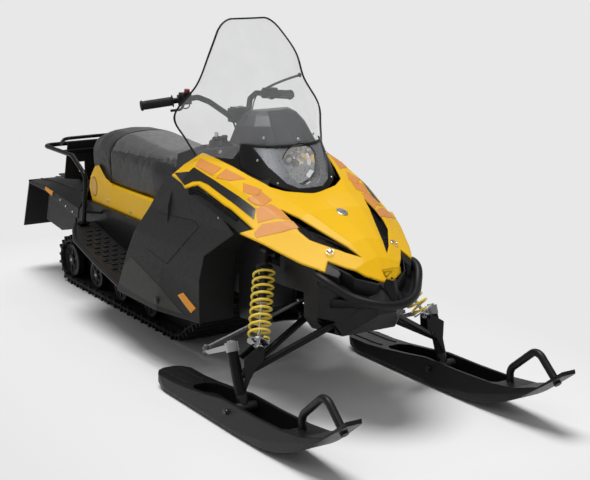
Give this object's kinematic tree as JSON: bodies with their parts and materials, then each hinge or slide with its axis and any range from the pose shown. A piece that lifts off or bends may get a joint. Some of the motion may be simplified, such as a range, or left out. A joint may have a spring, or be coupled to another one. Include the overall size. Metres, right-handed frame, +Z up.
{
  "type": "snowmobile",
  "caption": "Light utility snowmobile: yellow hood, clear windscreen, two steered skis on coil-over arms, rubber track, humped seat and rear luggage rack.",
  "frame": {"origin": "On the ground, under the middle of the machine's overall length and width.", "axes": "+X forward towards the ski tips, +Y to the driver's left, +Z up."},
  "size_m": [3.204, 1.013, 1.33],
  "materials": {
    "body_yellow": "glossy moulded plastic",
    "black_plastic": "grained moulded plastic",
    "grey_plastic": "satin moulded plastic",
    "frame_paint": "black powder coat",
    "sheet_metal": "dark painted sheet",
    "alloy": "cast aluminium",
    "steel": "plated steel",
    "chrome": "bright chrome",
    "spring_paint": "yellow paint",
    "track_rubber": "moulded rubber",
    "grip_rubber": "soft rubber",
    "seat_vinyl": "grained vinyl",
    "clear_screen": "clear polycarbonate",
    "clear_lens": "clear moulded lens",
    "reflector_bowl": "bright reflector",
    "amber": "amber reflector",
    "red": "red lamp lens",
    "engine_metal": "engine casting"
  },
  "bodies": {
    "chassis": {"a_arm_left": "frame_paint", "a_arm_right": "frame_paint", "shock_left": "chrome", "shock_right": "chrome", "spring_left": "spring_paint", "spring_right": "spring_paint", "front_frame": "frame_paint", "engine_block": "engine_metal", "track": "track_rubber", "slide_rails": "sheet_metal", "rear_idlers": "black_plastic", "bogie_wheels": "black_plastic", "drive_axle": "steel", "suspension_arms": "frame_paint", "tunnel": "sheet_metal", "footboard_left": "black_plastic", "footboard_right": "black_plastic", "hood": "body_yellow", "headlight_bezel": "black_plastic", "headlight_lens": "clear_lens", "headlight": "reflector_bowl", "cowl": "grey_plastic", "windscreen": "clear_screen", "side_panel_left": "grey_plastic", "side_panel_right": "grey_plastic", "belly_pan": "black_plastic", "front_bumper": "black_plastic", "console": "black_plastic", "seat_base": "body_yellow", "seat": "seat_vinyl", "tail_cover": "black_plastic", "side_skirts": "grey_plastic", "snow_flap": "black_plastic", "rack": "frame_paint", "rack_plate": "sheet_metal", "tail_light": "red", "tow_hitch": "frame_paint", "reflectors": "amber"},
    "handlebar": {"steering_column": "frame_paint", "handlebar": "frame_paint", "handlebar_grips": "grip_rubber", "handlebar_clamp": "black_plastic", "brake_lever": "black_plastic", "throttle_lever": "black_plastic"},
    "relay": {"steering_relay": "alloy"},
    "drag_link": {"drag_link": "steel"},
    "spindle_left": {"spindle_left": "alloy"},
    "spindle_right": {"spindle_right": "alloy"},
    "tie_rod_left": {"tie_rod_left": "steel"},
    "tie_rod_right": {"tie_rod_right": "steel"},
    "ski_left": {"ski_left": "black_plastic"},
    "ski_right": {"ski_right": "black_plastic"}
  },
  "joints": [
    {"name": "steering", "type": "hinge", "parent": "chassis", "child": "handlebar", "pos_m": [0.17, 0, 0.925], "axis": [-0.3665, 0, 0.9304], "range_deg": [-30, 30]},
    {"name": "relay_turn", "type": "hinge", "parent": "chassis", "child": "relay", "pos_m": [1.03178, 0, 0.46564], "axis": [-0.3665, 0, 0.9304], "range_deg": [-30, 30]},
    {"name": "drag_link_turn", "type": "hinge", "parent": "handlebar", "child": "drag_link", "pos_m": [0.31037, 0.048, 0.56865], "axis": [-0.3665, 0, 0.9304], "range_deg": [-30, 30]},
    {"name": "spindle_left_turn", "type": "hinge", "parent": "chassis", "child": "spindle_left", "pos_m": [0.935, 0.43, 0.067], "axis": [-0.3665, 0, 0.9304], "range_deg": [-30, 30]},
    {"name": "spindle_right_turn", "type": "hinge", "parent": "chassis", "child": "spindle_right", "pos_m": [0.935, -0.43, 0.067], "axis": [-0.3665, 0, 0.9304], "range_deg": [-30, 30]},
    {"name": "tie_rod_left_turn", "type": "hinge", "parent": "spindle_left", "child": "tie_rod_left", "pos_m": [0.67429, 0.43, 0.21043], "axis": [-0.3665, 0, 0.9304], "range_deg": [-30, 30]},
    {"name": "tie_rod_right_turn", "type": "hinge", "parent": "spindle_right", "child": "tie_rod_right", "pos_m": [0.67429, -0.43, 0.21043], "axis": [-0.3665, 0, 0.9304], "range_deg": [-30, 30]},
    {"name": "ski_pitch_left", "type": "hinge", "parent": "spindle_left", "child": "ski_left", "pos_m": [0.935, 0.43, 0.067], "axis": [0, 1, 0], "range_deg": [-20, 12]},
    {"name": "ski_pitch_right", "type": "hinge", "parent": "spindle_right", "child": "ski_right", "pos_m": [0.935, -0.43, 0.067], "axis": [0, 1, 0], "range_deg": [-20, 12]}
  ],
  "couplings": [
    {"joint": "relay_turn", "follows": "steering", "ratio": 1},
    {"joint": "drag_link_turn", "follows": "steering", "ratio": -1},
    {"joint": "spindle_left_turn", "follows": "steering", "ratio": 1},
    {"joint": "spindle_right_turn", "follows": "steering", "ratio": 1},
    {"joint": "tie_rod_left_turn", "follows": "steering", "ratio": -1},
    {"joint": "tie_rod_right_turn", "follows": "steering", "ratio": -1}
  ]
}
